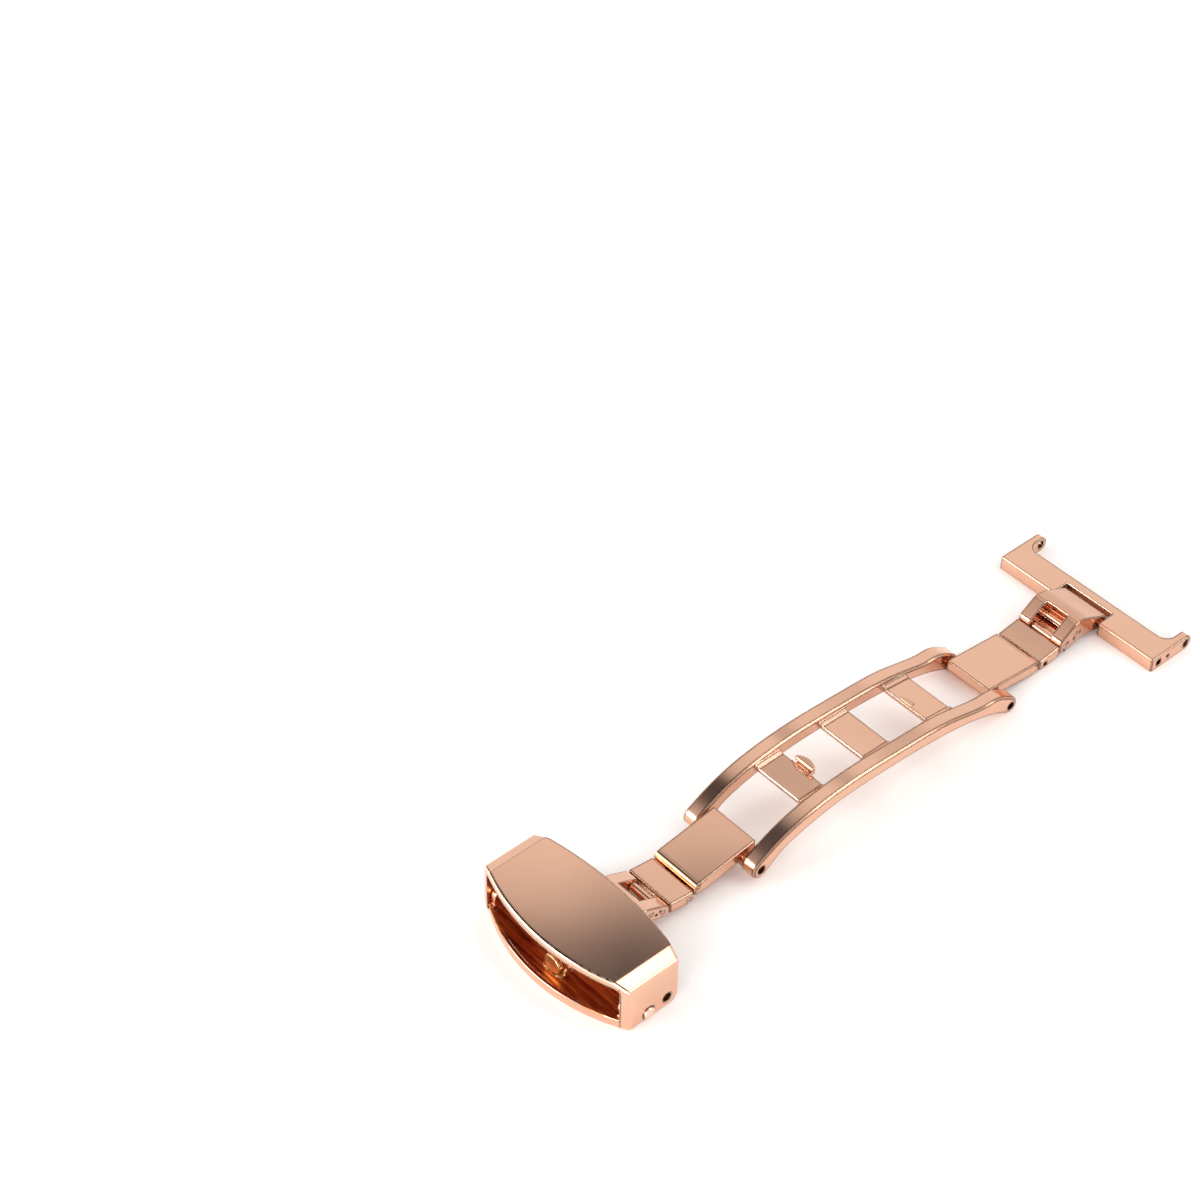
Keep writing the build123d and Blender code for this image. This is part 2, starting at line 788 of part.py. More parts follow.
# Cover: bowed top plate with a side wall down each side
with BuildPart() as cover_shell:
    with BuildSketch(Plane.XY.offset(cover_wall_bottom)):
        with BuildLine():
            ThreePointArc(
                (cover_front_side, -cover_half_width),
                (cover_front_middle, 0),
                (cover_front_side, cover_half_width),
            )
            Line((cover_front_side, cover_half_width), (cover_back_side, cover_half_width))
            ThreePointArc(
                (cover_back_side, cover_half_width),
                (cover_back_middle, 0),
                (cover_back_side, -cover_half_width),
            )
            Line((cover_back_side, -cover_half_width), (cover_front_side, -cover_half_width))
        make_face()
    extrude(amount=cover_top - cover_wall_bottom)
    shoulder = cover_half_width - cover_bevel_across
    with BuildSketch(Plane.YZ.offset(cover_front_middle)) as section:
        with BuildLine():
            Polyline(
                (-cover_half_width, 0),
                (-cover_half_width, cover_top - cover_bevel_down),
                (-shoulder, cover_top),
                (shoulder, cover_top),
                (cover_half_width, cover_top - cover_bevel_down),
                (cover_half_width, 0),
                close=True,
            )
        make_face()
        levels = section.vertices().group_by(Axis.Y)
        fillet(levels[1], cover_bevel_round)
    extrude(amount=cover_back_middle - cover_front_middle, mode=Mode.INTERSECT)
    feet = cover_shell.edges().filter_by(GeomType.CIRCLE).group_by(Axis.Z)[0]
    fillet(feet.sort_by(Axis.X)[-1], cover_heel_round)
    feet = cover_shell.edges().filter_by(GeomType.CIRCLE).group_by(Axis.Z)[0]
    fillet(feet.sort_by(Axis.X)[0], cover_toe_round)
    front_edges = cover_shell.faces().sort_by(Axis.X)[0].edges()
    rim = [edge for edge in front_edges if edge.center().Z > cover_toe_round * 2]
    fillet(rim, cover_edge_round)
    with BuildSketch(Plane.YZ.offset(cover_front_middle)):
        RectangleRounded(cover_wall_inner * 2, cover_under * 2, cover_inner_corner)
    extrude(amount=cover_back_middle - cover_front_middle, mode=Mode.SUBTRACT)
    bore = cover_pin_radius + running_gap
    add(rod(cover_axis, bore, -cover_half_width, cover_half_width), mode=Mode.SUBTRACT)
    add(rod(snap_axis, snap_pin_radius, -cover_half_width, cover_half_width), mode=Mode.SUBTRACT)
    rim_inner = cover_half_width - snap_rim_depth
    for low, high in ((-cover_half_width, -rim_inner), (rim_inner, cover_half_width)):
        add(rod(snap_axis, snap_pin_radius + snap_rim_gap, low, high), mode=Mode.SUBTRACT)


def side_pin(axis, radius, inner, outer):
    """A short pin at one side, its outer end slightly domed."""
    with BuildPart() as piece:
        add(rod(axis, radius, min(inner, outer), max(inner, outer)))
        end = piece.edges().sort_by(Axis.Y)[-1 if outer > inner else 0]
        fillet(end, pin_dome)
    return piece.part


hinge_pin_end = cover_half_width - hinge_pin_recess
snap_pin_end = cover_half_width + snap_pin_reach
with BuildPart() as near_hinge_pin:
    add(side_pin(cover_axis, cover_pin_radius, -tray_wall_inner, -hinge_pin_end))
with BuildPart() as far_hinge_pin:
    add(side_pin(cover_axis, cover_pin_radius, tray_wall_inner, hinge_pin_end))
with BuildPart() as near_snap_pin:
    add(side_pin(snap_axis, snap_pin_radius, -cover_wall_inner, -snap_pin_end))
with BuildPart() as far_snap_pin:
    add(side_pin(snap_axis, snap_pin_radius, cover_wall_inner, snap_pin_end))

# T-bar: bar with two lugs, notch for the catch link, bore for its long pin
with BuildPart() as t_bar:
    with BuildSketch(side_plane(bar_half_width)):
        with BuildLine():
            Polyline(
                (lug_axis[0], bar_height),
                (bar_left, bar_height),
                (bar_left, 0),
                (lug_axis[0], 0),
            )
            ThreePointArc(
                (lug_axis[0], 0),
                (lug_axis[0] + bar_height / 2, bar_height / 2),
                (lug_axis[0], bar_height),
            )
        make_face()
    extrude(amount=bar_half_width * 2)
    long_edges = t_bar.edges().filter_by(Axis.Y).sort_by(Axis.X)[:2]
    fillet(long_edges, bar_edge_round)
    chamfer(t_bar.faces().filter_by(Axis.Y).edges(), side_bevel)
    with BuildSketch():
        far_end = lug_axis[0] + bar_height
        with Locations(((bar_right + far_end) / 2, 0)):
            gap = Rectangle(far_end - bar_right, lug_inner * 2)
        fillet(gap.vertices().group_by(Axis.X)[0], lug_corner)
        with Locations(((bar_left + bar_notch_end) / 2, 0)):
            Rectangle(bar_notch_end - bar_left, bar_notch_half_width * 2)
    extrude(amount=bar_height, mode=Mode.SUBTRACT)
    with BuildSketch():
        with Locations(((bar_notch_end + bar_right) / 2, 0)):
            Rectangle(bar_right - bar_notch_end, bar_notch_half_width * 2)
    extrude(amount=bar_pocket_height, mode=Mode.SUBTRACT)
    add(rod(bar_axis, bar_pin_radius, -bar_half_width, bar_half_width), mode=Mode.SUBTRACT)
    add(rod(lug_axis, lug_hole_radius, -bar_half_width, bar_half_width), mode=Mode.SUBTRACT)
    for low, high in (
        (-bar_half_width, dimple_depth - bar_half_width),
        (bar_half_width - dimple_depth, bar_half_width),
    ):
        add(rod(bar_dot_axis, bar_dot_radius, low, high), mode=Mode.SUBTRACT)
with BuildPart() as t_bar_pin:
    add(rod(bar_axis, bar_pin_radius, pin_recess - bar_half_width, bar_half_width - pin_recess))

pieces = {
    "base_frame": base_frame,
    "catch_post": catch_post,
    "catch_hook": catch_hook,
    "left_frame_pin": left_frame_pin,
    "right_frame_pin": right_frame_pin,
    "left_blade": left_blade,
    "left_link": left_link,
    "left_link_pin": left_link_pin,
    "left_catch_link": left_catch_link,
    "left_catch_pin": left_catch_pin,
    "left_latch_bar": left_latch_bar,
    "right_blade": right_blade,
    "right_link": right_link,
    "right_link_pin": right_link_pin,
    "right_catch_link": right_catch_link,
    "right_catch_pin": right_catch_pin,
    "right_latch_bar": right_latch_bar,
    "sleeve_tray": sleeve_tray,
    "tray_hinge_pin": tray_hinge_pin,
    "strap_stud": strap_stud,
    "stud_bracket": stud_bracket,
    "cover_shell": cover_shell,
    "near_hinge_pin": near_hinge_pin,
    "far_hinge_pin": far_hinge_pin,
    "near_snap_pin": near_snap_pin,
    "far_snap_pin": far_snap_pin,
    "t_bar": t_bar,
    "t_bar_pin": t_bar_pin,
}
for name, piece in pieces.items():
    piece.part.label = name
    export_step(piece.part, f"parts/{name}.step")
    box = piece.part.bounding_box()
    print(name, piece.part.is_valid, len(piece.part.solids()), [round(v, 2) for v in (*box.min, *box.max)])
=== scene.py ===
import math
import bmesh
import bpy
from mathutils import Matrix, Vector

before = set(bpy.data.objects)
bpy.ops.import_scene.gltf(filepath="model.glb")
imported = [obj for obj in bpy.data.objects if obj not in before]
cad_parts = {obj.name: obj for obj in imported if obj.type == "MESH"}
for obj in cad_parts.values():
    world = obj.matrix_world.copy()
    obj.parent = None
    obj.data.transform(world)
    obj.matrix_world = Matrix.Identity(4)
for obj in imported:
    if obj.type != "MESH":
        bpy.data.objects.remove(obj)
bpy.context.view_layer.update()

scene = bpy.context.scene
scene.view_settings.view_transform = "Standard"
mm = 0.001
mmPerMetre = 1000.0


# small helpers for node trees

def newMaterial(name):
    mat = bpy.data.materials.new(name)
    mat.use_nodes = True
    tree = mat.node_tree
    tree.nodes.clear()
    out = tree.nodes.new("ShaderNodeOutputMaterial")
    return mat, tree, out


def addNode(tree, kind, **values):
    # a value is the node's own setting where it has one of that name, and a socket's start if not
    node = tree.nodes.new(kind)
    for key, value in values.items():
        if hasattr(node, key):
            setattr(node, key, value)
        else:
            node.inputs[key.replace("_", " ")].default_value = value
    return node


def addTimes(tree, factor):
    node = addNode(tree, "ShaderNodeMath", operation="MULTIPLY")
    node.inputs[1].default_value = factor
    return node


def addSmooth(tree, low, high):
    # rises softly from 0 at low to 1 at high
    return addNode(
        tree, "ShaderNodeMapRange", interpolation_type="SMOOTHSTEP", From_Min=low, From_Max=high
    )


# where a colour mix has its sockets, among those for numbers and vectors
mixSockets = {"factor": 0, "first": 6, "second": 7, "result": 2}


def addColourMix(tree, first, second):
    # the first colour may be another node's output; gives the factor and the mixed colour
    mix = addNode(tree, "ShaderNodeMix", data_type="RGBA")
    if isinstance(first, bpy.types.NodeSocket):
        tree.links.new(first, mix.inputs[mixSockets["first"]])
    else:
        mix.inputs[mixSockets["first"]].default_value = (*first, 1.0)
    mix.inputs[mixSockets["second"]].default_value = (*second, 1.0)
    return mix.inputs[mixSockets["factor"]], mix.outputs[mixSockets["result"]]


def newGroup(name, inputs, outputs):
    group = bpy.data.node_groups.new(name, "ShaderNodeTree")
    for label, kind, start in inputs:
        socket = group.interface.new_socket(label, in_out="INPUT", socket_type=kind)
        socket.default_value = start
    for label, kind in outputs:
        group.interface.new_socket(label, in_out="OUTPUT", socket_type=kind)
    return group, group.nodes.new("NodeGroupInput"), group.nodes.new("NodeGroupOutput")


print("building the shared finishes")

grainNoise = {"Scale": 1.0, "Detail": 3.0, "Roughness": 0.6}


def makeGrainGroup():
    # fine straight grain left by a satin wheel: noise with its own pace along X and along Y
    group, given, result = newGroup(
        "satinGrain",
        [("Lines per mm", "NodeSocketFloat", 9.0), ("Along", "NodeSocketFloat", 0.03),
         ("Across", "NodeSocketFloat", 1.0)],
        [("Height", "NodeSocketFloat"), ("Mask", "NodeSocketFloat")],
    )
    coord = addNode(group, "ShaderNodeTexCoord")
    scale = addNode(group, "ShaderNodeVectorMath", operation="SCALE")
    stretch = addNode(group, "ShaderNodeCombineXYZ", Z=1.0)
    times = addNode(group, "ShaderNodeVectorMath", operation="MULTIPLY")
    perMetre = addTimes(group, mmPerMetre)
    noise = addNode(group, "ShaderNodeTexNoise", **grainNoise)
    join = group.links.new
    join(given.outputs["Lines per mm"], perMetre.inputs[0])
    join(perMetre.outputs[0], scale.inputs["Scale"])
    join(coord.outputs["Object"], scale.inputs[0])
    join(given.outputs["Along"], stretch.inputs["X"])
    join(given.outputs["Across"], stretch.inputs["Y"])
    join(scale.outputs[0], times.inputs[0])
    join(stretch.outputs[0], times.inputs[1])
    join(times.outputs[0], noise.inputs["Vector"])
    join(noise.outputs["Fac"], result.inputs["Height"])
    join(noise.outputs["Fac"], result.inputs["Mask"])
    return group


patchNoise = {"Detail": 2.0, "Roughness": 0.45}
patchSpread = {"From_Min": 0.3, "From_Max": 0.7}


def makePatchGroup():
    # soft patches from handling: slow noise that shifts roughness and tint a little
    group, given, result = newGroup(
        "handlingPatches",
        [("Patch size mm", "NodeSocketFloat", 6.0), ("Low", "NodeSocketFloat", 0.2),
         ("High", "NodeSocketFloat", 0.3)],
        [("Roughness", "NodeSocketFloat"), ("Mask", "NodeSocketFloat")],
    )
    coord = addNode(group, "ShaderNodeTexCoord")
    perMetre = addNode(group, "ShaderNodeMath", operation="DIVIDE")
    perMetre.inputs[0].default_value = mmPerMetre
    noise = addNode(group, "ShaderNodeTexNoise", **patchNoise)
    spread = addNode(group, "ShaderNodeMapRange", **patchSpread)
    join = group.links.new
    join(given.outputs["Patch size mm"], perMetre.inputs[1])
    join(perMetre.outputs[0], noise.inputs["Scale"])
    join(coord.outputs["Object"], noise.inputs["Vector"])
    join(noise.outputs["Fac"], spread.inputs["Value"])
    join(given.outputs["Low"], spread.inputs["To Min"])
    join(given.outputs["High"], spread.inputs["To Max"])
    join(spread.outputs["Result"], result.inputs["Roughness"])
    join(noise.outputs["Fac"], result.inputs["Mask"])
    return group


# how far the rounded direction turns from the flat one where each step of the painted edge lines begins
# and where it is full
paintedEdgeSteps = {"darkStart": (0.010, 0.02), "darkEnd": (0.13, 0.18), "brightStart": (0.16, 0.21)}
edgeSamples = 8


def makePaintedEdgeGroup():
    # painted lines along polished edges: a painted shade line a little way in, a painted highlight line on
    # the very edge
    group, given, result = newGroup(
        "paintedEdgeLines",
        [("Width mm", "NodeSocketFloat", 0.12)],
        [("Normal", "NodeSocketVector"), ("Dark", "NodeSocketFloat"), ("Bright", "NodeSocketFloat")],
    )
    metres = addTimes(group, mm)
    bevel = addNode(group, "ShaderNodeBevel", samples=edgeSamples)
    shape = addNode(group, "ShaderNodeNewGeometry")
    dot = addNode(group, "ShaderNodeVectorMath", operation="DOT_PRODUCT")
    turn = addNode(group, "ShaderNodeMath", operation="SUBTRACT")
    turn.inputs[0].default_value = 1.0
    window = addNode(group, "ShaderNodeMath", operation="SUBTRACT", use_clamp=True)
    steps = {step: addSmooth(group, low, high) for step, (low, high) in paintedEdgeSteps.items()}
    join = group.links.new
    join(given.outputs["Width mm"], metres.inputs[0])
    join(metres.outputs[0], bevel.inputs["Radius"])
    join(bevel.outputs["Normal"], dot.inputs[0])
    join(shape.outputs["Normal"], dot.inputs[1])
    join(dot.outputs["Value"], turn.inputs[1])
    for step in steps.values():
        join(turn.outputs[0], step.inputs["Value"])
    join(steps["darkStart"].outputs["Result"], window.inputs[0])
    join(steps["darkEnd"].outputs["Result"], window.inputs[1])
    join(bevel.outputs["Normal"], result.inputs["Normal"])
    join(window.outputs[0], result.inputs["Dark"])
    join(steps["brightStart"].outputs["Result"], result.inputs["Bright"])
    return group


grainGroup = makeGrainGroup()
patchGroup = makePatchGroup()
paintedEdgeGroup = makePaintedEdgeGroup()
# colours of the painted edge lines: near-black painted shade and cream painted highlight
paintedEdgeTints = {"dark": (0.05, 0.012, 0.004), "bright": (1.0, 0.84, 0.68)}


def platedMetal(name, look):
    # rose plating on steel: the tint varies a little, and edges get a painted shade line and a painted
    # highlight line
    mat, tree, out = newMaterial(name)
    shader = addNode(tree, "ShaderNodeBsdfPrincipled", Metallic=1.0)
    grain = addNode(
        tree, "ShaderNodeGroup", node_tree=grainGroup,
        Lines_per_mm=look["linesPerMm"], Along=look["along"], Across=look["across"],
    )
    patch = addNode(
        tree, "ShaderNodeGroup", node_tree=patchGroup,
        Patch_size_mm=look["patchMm"], Low=look["roughLow"], High=look["roughHigh"],
    )
    edge = addNode(tree, "ShaderNodeGroup", node_tree=paintedEdgeGroup, Width_mm=look["edgeMm"])
    tintLow, tintHigh = look["tintFrom"]
    tintMask = addNode(tree, "ShaderNodeMapRange", From_Min=tintLow, From_Max=tintHigh)
    paintedShadeAmount = addTimes(tree, look["paintedEdgeShade"])
    paintedHighlightAmount = addTimes(tree, look["paintedEdgeHighlight"])
    tintFactor, tinted = addColourMix(tree, look["tint"], look["tintDeep"])
    # the edge mask paints a shade line, then a highlight line, over the tint
    paintedShadeFactor, withPaintedShade = addColourMix(tree, tinted, paintedEdgeTints["dark"])
    paintedHighlightFactor, withPaintedHighlight = addColourMix(tree, withPaintedShade, paintedEdgeTints["bright"])
    bump = addNode(tree, "ShaderNodeBump", Strength=look["bump"], Distance=look["bumpDepth"])
    join = tree.links.new
    join((grain if look["streaky"] else patch).outputs["Mask"], tintMask.inputs["Value"])
    join(tintMask.outputs["Result"], tintFactor)
    join(edge.outputs["Dark"], paintedShadeAmount.inputs[0])
    join(edge.outputs["Bright"], paintedHighlightAmount.inputs[0])
    join(paintedShadeAmount.outputs[0], paintedShadeFactor)
    join(paintedHighlightAmount.outputs[0], paintedHighlightFactor)
    join(withPaintedHighlight, shader.inputs["Base Color"])
    join(patch.outputs["Roughness"], shader.inputs["Roughness"])
    join(edge.outputs["Normal"], bump.inputs["Normal"])
    join(grain.outputs["Height"], bump.inputs["Height"])
    join(bump.outputs["Normal"], shader.inputs["Normal"])
    join(shader.outputs[0], out.inputs["Surface"])
    return mat


# what a finish has where it names nothing else: its tint follows the soft patches
plainLook = {"across": 1.0, "streaky": False, "tintFrom": (0.0, 1.0)}
platingLooks = {
    "satinPlate": {
        "tint": (0.84, 0.505, 0.355), "tintDeep": (0.80, 0.46, 0.315), "roughLow": 0.15, "roughHigh": 0.20,
        "linesPerMm": 11.0, "along": 0.025, "patchMm": 8.0, "bump": 0.12, "bumpDepth": 0.000006,
        "edgeMm": 0.32, "paintedEdgeShade": 1.0, "paintedEdgeHighlight": 1.0,
    },
    "polishedPlate": {
        "tint": (0.86, 0.53, 0.38), "tintDeep": (0.82, 0.48, 0.34), "roughLow": 0.07, "roughHigh": 0.11,
        "linesPerMm": 16.0, "along": 0.05, "patchMm": 7.0, "bump": 0.05, "bumpDepth": 0.000005,
        "edgeMm": 0.18, "paintedEdgeShade": 1.0, "paintedEdgeHighlight": 1.0,
    },
    "pinSteel": {
        "tint": (0.76, 0.45, 0.31), "tintDeep": (0.66, 0.38, 0.26), "roughLow": 0.16, "roughHigh": 0.24,
        "linesPerMm": 14.0, "along": 1.0, "patchMm": 2.0, "bump": 0.12, "bumpDepth": 0.000006,
        "edgeMm": 0.08, "paintedEdgeShade": 0.8, "paintedEdgeHighlight": 0.4,
    },
    # a darker copy of the plating: painted shade for the right catch link, its pin and latch bar
    "paintedShadePlate": {
        "tint": (0.73, 0.42, 0.29), "tintDeep": (0.66, 0.36, 0.24), "roughLow": 0.10, "roughHigh": 0.16,
        "linesPerMm": 16.0, "along": 0.05, "patchMm": 4.0, "bump": 0.05, "bumpDepth": 0.000005,
        "edgeMm": 0.26, "paintedEdgeShade": 1.0, "paintedEdgeHighlight": 1.0,
    },
    # golden painted highlight for the left blade's round ridge
    "ridgePaintedHighlight": {
        "tint": (1.0, 0.66, 0.36), "tintDeep": (0.96, 0.58, 0.30), "roughLow": 0.12, "roughHigh": 0.16,
        "linesPerMm": 12.0, "along": 1.0, "patchMm": 2.0, "bump": 0.05, "bumpDepth": 0.000005,
        "edgeMm": 0.10, "paintedEdgeShade": 0.5, "paintedEdgeHighlight": 0.5,
    },
    # painted shade for the cover's front rim, then its painted highlight
    "rimPaintedShade": {
        "tint": (0.06, 0.018, 0.008), "tintDeep": (0.04, 0.01, 0.005), "roughLow": 0.30, "roughHigh": 0.40,
        "linesPerMm": 12.0, "along": 1.0, "patchMm": 2.0, "bump": 0.05, "bumpDepth": 0.000005,
        "edgeMm": 0.05, "paintedEdgeShade": 0.0, "paintedEdgeHighlight": 0.0,
    },
    "rimPaintedHighlight": {
        "tint": (1.0, 0.80, 0.62), "tintDeep": (0.98, 0.76, 0.58), "roughLow": 0.12, "roughHigh": 0.18,
        "linesPerMm": 12.0, "along": 1.0, "patchMm": 2.0, "bump": 0.05, "bumpDepth": 0.000005,
        "edgeMm": 0.05, "paintedEdgeShade": 0.0, "paintedEdgeHighlight": 0.0,
    },
    "palePin": {
        "tint": (0.93, 0.72, 0.58), "tintDeep": (0.88, 0.64, 0.50), "roughLow": 0.20, "roughHigh": 0.28,
        "linesPerMm": 14.0, "along": 1.0, "patchMm": 2.0, "bump": 0.12, "bumpDepth": 0.000006,
        "edgeMm": 0.08, "paintedEdgeShade": 0.8, "paintedEdgeHighlight": 0.4,
    },
    "goldStud": {
        "tint": (0.92, 0.60, 0.33), "tintDeep": (0.84, 0.48, 0.22), "roughLow": 0.28, "roughHigh": 0.38,
        "linesPerMm": 8.0, "along": 1.0, "patchMm": 2.0, "bump": 0.15, "bumpDepth": 0.00001,
        "edgeMm": 0.12, "paintedEdgeShade": 0.8, "paintedEdgeHighlight": 0.8,
    },
}
# the sleeve's inside is a deep red-brown with streaks, which run across the strap on its floor
insideLook = {
    "tint": (0.86, 0.33, 0.11), "tintDeep": (0.30, 0.07, 0.02), "roughLow": 0.26, "roughHigh": 0.40,
    "linesPerMm": 3.0, "along": 1.0, "across": 0.06, "patchMm": 3.0, "bump": 0.45, "bumpDepth": 0.00002,
    "streaky": True, "tintFrom": (0.38, 0.62),
    "edgeMm": 0.08, "paintedEdgeShade": 0.8, "paintedEdgeHighlight": 0.4,
}
platingLooks["sleeveInside"] = insideLook
# on the upright walls inside, the streaks run along the strap
platingLooks["sleeveInsideWall"] = {**insideLook, "along": 0.06, "across": 1.0}
# painted shade: the walls of bores and the recessed pin ends in them are painted nearly black
platingLooks["paintedBoreShade"] = {
    "tint": (0.16, 0.055, 0.03), "tintDeep": (0.09, 0.03, 0.016), "roughLow": 0.35, "roughHigh": 0.50,
    "linesPerMm": 12.0, "along": 1.0, "patchMm": 1.5, "bump": 0.10, "bumpDepth": 0.000006,
    "edgeMm": 0.05, "paintedEdgeShade": 0.5, "paintedEdgeHighlight": 0.0,
}
finishes = {name: platedMetal(name, {**plainLook, **look}) for name, look in platingLooks.items()}

print("dressing the machined pieces")

# pieces not named here are plain pin steel
nodeFinish = {
    "satinPlate": ["cover_shell", "left_blade", "left_link", "right_blade", "right_link", "t_bar",
                   "base_frame", "left_link_pin", "left_catch_pin", "left_latch_bar", "left_frame_pin",
                   "near_hinge_pin", "far_hinge_pin"],
    "polishedPlate": ["left_catch_link", "sleeve_tray"],
    "paintedShadePlate": ["right_catch_link", "right_catch_pin", "right_latch_bar"],
    "palePin": ["near_snap_pin", "far_snap_pin"],
    "goldStud": ["strap_stud", "stud_bracket"],
}
for name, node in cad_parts.items():
    finish = next((f for f, names in nodeFinish.items() if name in names), "pinSteel")
    node.data.materials.clear()
    node.data.materials.append(finishes[finish])
    for face in node.data.polygons:
        face.material_index = 0


def addFinish(name, finish):
    # gives a piece one more finish and says which slot it is in
    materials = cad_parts[name].data.materials
    materials.append(finishes[finish])
    return len(materials) - 1


def facesOf(name):
    # every face of a piece, with its middle in metres and the direction it looks in
    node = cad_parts[name]
    turn = node.matrix_world.to_3x3()
    for face in node.data.polygons:
        yield face, node.matrix_world @ face.center, (turn @ face.normal).normalized()


# each bore and dimple as (x, z, radius) in mm, seen from the side
bores = {
    "base_frame": [(-16.75, 1.85, 0.50), (19.86, 1.00, 0.50)],
    "t_bar": [(37.00, 0.87, 0.42), (41.42, 0.90, 0.50), (38.51, 0.88, 0.22)],
    "cover_shell": [(-34.43, 1.33, 0.54), (-36.77, 0.95, 0.73)],
    "right_link": [(27.75, 0.62, 0.30)],
    "left_catch_link": [(-28.94, 2.38, 0.15), (-28.41, 2.54, 0.15)],
    "right_catch_link": [(35.49, 1.46, 0.15), (33.04, 2.14, 0.15), (32.18, 1.65, 0.15),
                         (31.14, 1.65, 0.15), (30.77, 0.79, 0.15)],
}
sunkPins = ["right_frame_pin", "t_bar_pin", "right_link_pin"]
# walls may lie slackMm outside a bore's radius; a face whose direction's Y passes sideways is an end
boreLimits = {"slackMm": 0.05, "sideways": 0.5}
# faces inside each bore get the nearly black painted shade
for name, holes in bores.items():
    slot = addFinish(name, "paintedBoreShade")
    for face, middle, outward in facesOf(name):
        spot = middle / mm
        isWall = abs(outward.y) < boreLimits["sideways"]
        reach = boreLimits["slackMm"] if isWall else -boreLimits["slackMm"]
        for x, z, radius in holes:
            if math.hypot(spot.x - x, spot.z - z) < radius + reach:
                face.material_index = slot
# the ends of the sunk pins get the nearly black painted shade
for name in sunkPins:
    slot = addFinish(name, "paintedBoreShade")
    for face, middle, outward in facesOf(name):
        if abs(outward.y) > boreLimits["sideways"]:
            face.material_index = slot

# faces that look into the sleeve: the pan's floor and rib, and the cover's ceiling and inner walls
insideLimits = {"side": 0.00975, "ceiling": 0.0056, "floor": 0.00115, "front": -0.0412, "upward": 0.5}
for name in ("sleeve_tray", "cover_shell"):
    flatSlot = addFinish(name, "sleeveInside")
    wallSlot = addFinish(name, "sleeveInsideWall")
    for face, middle, outward in facesOf(name):
        if name == "cover_shell":
            looksIn = abs(middle.y) < insideLimits["side"] and middle.z < insideLimits["ceiling"]
        else:
            isLow = middle.z < insideLimits["floor"] and middle.x > insideLimits["front"]
            looksIn = isLow and outward.z > insideLimits["upward"]
        if looksIn:
            face.material_index = wallSlot if abs(outward.y) > abs(outward.z) else flatSlot

# the cover's round front rim: a painted shade line beside the flat top, then a painted highlight band down
# to the face
rimZone = {
    "back": -0.0365, "low": 0.0050, "forward": -0.05,
    "nearlyFlat": 0.985, "paintedShadeUntil": 0.86, "paintedHighlightUntil": 0.25,
}
rimShadeSlot = addFinish("cover_shell", "rimPaintedShade")
rimHighlightSlot = addFinish("cover_shell", "rimPaintedHighlight")
for face, middle, outward in facesOf("cover_shell"):
    isFront = middle.x < rimZone["back"] and outward.x < rimZone["forward"]
    isRound = rimZone["paintedHighlightUntil"] < outward.z < rimZone["nearlyFlat"]
    if isFront and isRound and middle.z > rimZone["low"]:
        face.material_index = rimShadeSlot if outward.z > rimZone["paintedShadeUntil"] else rimHighlightSlot

# the left blade's round ridge gets a golden painted highlight on its faces turned forward and up
ridgeZone = {"back": -0.0222, "low": 0.0014, "forward": -0.2, "upward": 0.1}
ridgeHighlightSlot = addFinish("left_blade", "ridgePaintedHighlight")
for face, middle, outward in facesOf("left_blade"):
    onEnd = middle.x < ridgeZone["back"] and middle.z > ridgeZone["low"]
    if onEnd and outward.x < ridgeZone["forward"] and outward.z > ridgeZone["upward"]:
        face.material_index = ridgeHighlightSlot

print("setting the table, the light and the camera")


def makeSheet(name, middle, halfWide, halfDeep, material):
    x, y, z = middle
    left, right, near, far = x - halfWide, x + halfWide, y - halfDeep, y + halfDeep
    corners = [(left, near, z), (right, near, z), (right, far, z), (left, far, z)]
    mesh = bpy.data.meshes.new(name)
    build = bmesh.new()
    build.faces.new([build.verts.new(corner) for corner in corners])
    build.to_mesh(mesh)
    build.free()
    sheet = bpy.data.objects.new(name, mesh)
    mesh.materials.append(material)
    bpy.context.collection.objects.link(sheet)
    return sheet


# a very large sheet of paper, with a trace of mottling
tableLook = {
    "sideMetres": 3.0, "colour": (0.95, 0.945, 0.94), "deepShare": 0.99, "roughness": 0.75,
    "noise": {"Scale": 60.0, "Detail": 4.0},
}


def makeTable():
    mat, tree, out = newMaterial("tablePaper")
    paper = addNode(tree, "ShaderNodeBsdfPrincipled", Roughness=tableLook["roughness"])
    noise = addNode(tree, "ShaderNodeTexNoise", **tableLook["noise"])
    deep = [share * tableLook["deepShare"] for share in tableLook["colour"]]
    factor, colour = addColourMix(tree, tableLook["colour"], deep)
    tree.links.new(noise.outputs["Fac"], factor)
    tree.links.new(colour, paper.inputs["Base Color"])
    tree.links.new(paper.outputs[0], out.inputs["Surface"])
    half = tableLook["sideMetres"] / 2
    makeSheet("table", (0, 0, 0), half, half, mat)


# the studio lights everything evenly; the camera and the metal see white walls instead, and the
# metal sees them dimmer where a direction's X lies between dimLeft and dimRight, above dimFloor
studioLook = {
    "lightColour": (1.0, 0.985, 0.97), "lightStrength": 0.93,
    "seenColour": (1.0, 1.0, 1.0), "seenStrength": 1.0, "dimColour": (0.74, 0.74, 0.74),
    "dimLeft": (-0.46, -0.34), "dimRight": (0.00, 0.42), "dimFloor": (0.25, 0.45),
}


